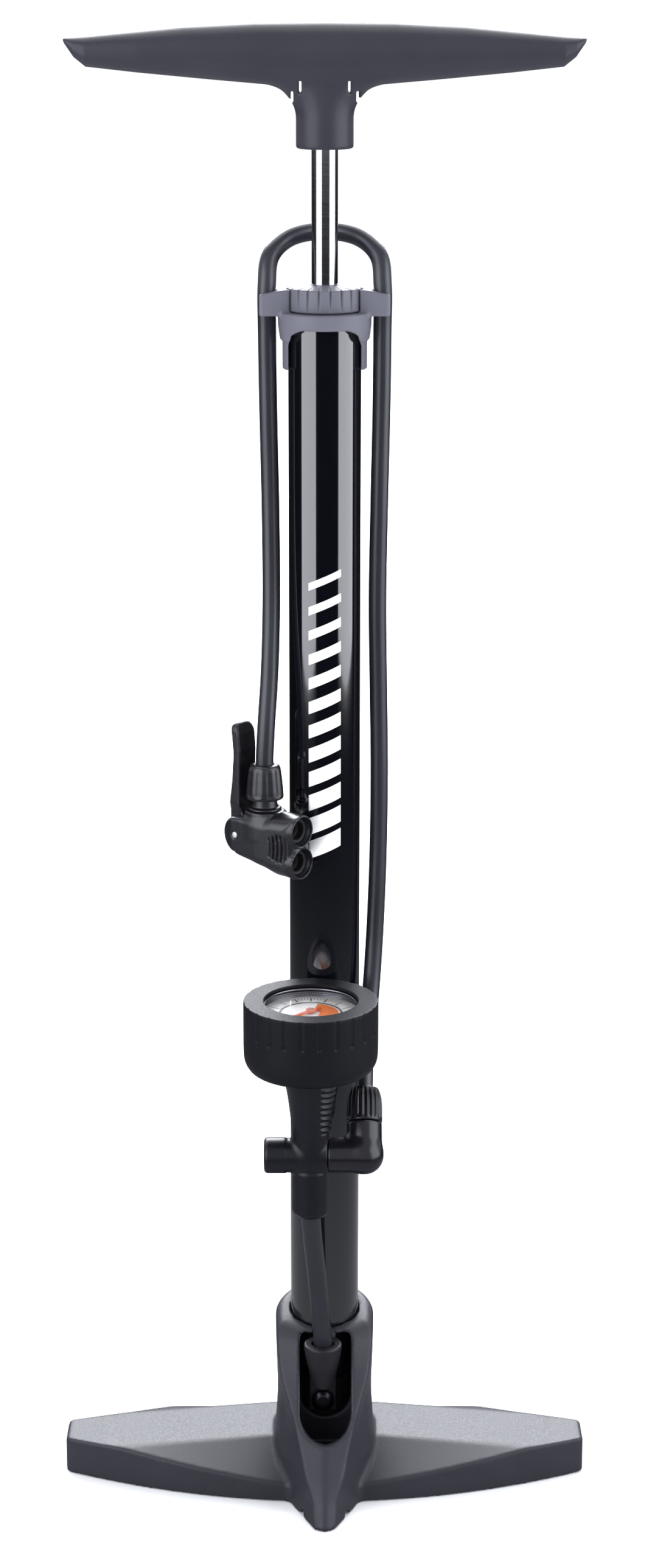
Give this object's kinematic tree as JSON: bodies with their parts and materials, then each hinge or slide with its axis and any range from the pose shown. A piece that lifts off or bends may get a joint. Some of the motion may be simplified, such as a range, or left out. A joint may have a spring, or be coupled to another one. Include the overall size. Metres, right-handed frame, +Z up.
{
  "type": "bicycle floor pump",
  "caption": "Upright bicycle floor pump with a winged foot, T handle on a chromed rod, upright pressure gauge and a clipped hose with a twin valve head.",
  "frame": {"origin": "on the floor, on the axis of the barrel", "axes": "+Z up along the barrel, -Y towards the gauge and prow, +X to the right, along the handle and the foot's wings, seen from the gauge side"},
  "size_m": [0.248, 0.1138, 0.6768],
  "materials": {
    "base_plastic": "fine moulded texture",
    "cap_plastic": "fine moulded texture",
    "handle_plastic": "satin moulded",
    "barrel_paint": "gloss black",
    "rod_chrome": "polished",
    "steel": "satin",
    "brass": "satin",
    "black_plastic": "satin moulded",
    "boot_rubber": "matte",
    "hose_rubber": "satin",
    "seal_rubber": "matte",
    "dial_card": "printed",
    "needle_paint": "satin",
    "lens_clear": "clear",
    "spring_steel": "bright wire"
  },
  "bodies": {
    "frame": {"base": "base_plastic", "barrel_foot": "black_plastic", "foot_o_ring": "seal_rubber", "base_screw_1": "steel", "base_screw_2": "steel", "base_screw_3": "steel", "check_valve_spring": "spring_steel", "pipe_connector": "black_plastic", "connector_screw": "steel", "barrel": "barrel_paint", "cap_bracket": "cap_plastic", "barrel_cap": "cap_plastic", "rod_bush": "black_plastic", "rod_wiper": "seal_rubber", "bump_ring": "seal_rubber", "air_pipe": "black_plastic", "gauge_tower": "black_plastic", "gauge_boot": "boot_rubber", "gauge_case": "steel", "gauge_socket": "brass", "bourdon_tube": "brass", "movement_plate": "brass", "gauge_dial": "dial_card", "gauge_lens": "lens_clear", "lens_ring": "black_plastic", "hose_elbow": "black_plastic", "elbow_o_ring": "seal_rubber", "elbow_hose_nut": "black_plastic", "hose": "hose_rubber", "head_hose_nut": "black_plastic", "head_neck": "black_plastic", "head_body": "black_plastic", "gland_upper": "seal_rubber", "gland_lower": "seal_rubber", "lever_pin": "steel"},
    "piston_seal": {"piston_cup_seal": "seal_rubber"},
    "plunger": {"piston_head": "black_plastic", "piston_washer": "steel", "piston_nut": "steel", "piston_rod": "rod_chrome", "handle_stud": "steel", "handle": "handle_plastic"},
    "lever": {"head_lever": "black_plastic"},
    "gland_press": {"gland_plunger": "steel"},
    "sector": {"sector_gear": "brass"},
    "needle": {"gauge_needle": "needle_paint", "needle_arbor": "steel"},
    "check_valve": {"check_valve_disc": "seal_rubber"}
  },
  "joints": [
    {"name": "plunger_slide", "type": "slide", "parent": "frame", "child": "piston_seal", "axis": [0, 0, 1], "range_m": [-0.048, 0.385]},
    {"name": "handle_turn", "type": "hinge", "parent": "piston_seal", "child": "plunger", "pos_m": [0, 0, 0.1306], "axis": [0, 0, 1], "continuous": true},
    {"name": "lever_turn", "type": "hinge", "parent": "frame", "child": "lever", "pos_m": [-0.0344, -0.008, 0.3204], "axis": [-0.6428, -0.766, 0], "range_deg": [0, 88]},
    {"name": "gland_press_slide", "type": "slide", "parent": "frame", "child": "gland_press", "axis": [0.766, -0.6428, 0], "range_m": [0, 0.0025]},
    {"name": "sector_turn", "type": "hinge", "parent": "frame", "child": "sector", "pos_m": [-0.0062, -0.0342, 0.2345], "axis": [0, 0, 1], "range_deg": [0, 45], "stiffness_Nm_per_rad": 0.0005, "springref_deg": -5.73},
    {"name": "needle_turn", "type": "hinge", "parent": "frame", "child": "needle", "pos_m": [-0.0062, -0.0475, 0.236], "axis": [0, 0, -1], "range_deg": [0, 270]},
    {"name": "check_valve_lift", "type": "slide", "parent": "frame", "child": "check_valve", "axis": [0, 0, -1], "range_m": [0, 0.002], "stiffness_N_per_m": 50, "springref_m": -0.001, "deforming": ["check_valve_spring"]}
  ],
  "couplings": [
    {"joint": "gland_press_slide", "follows": "lever_turn", "m_per_rad": 0.0016276},
    {"joint": "needle_turn", "follows": "sector_turn", "ratio": 6}
  ]
}
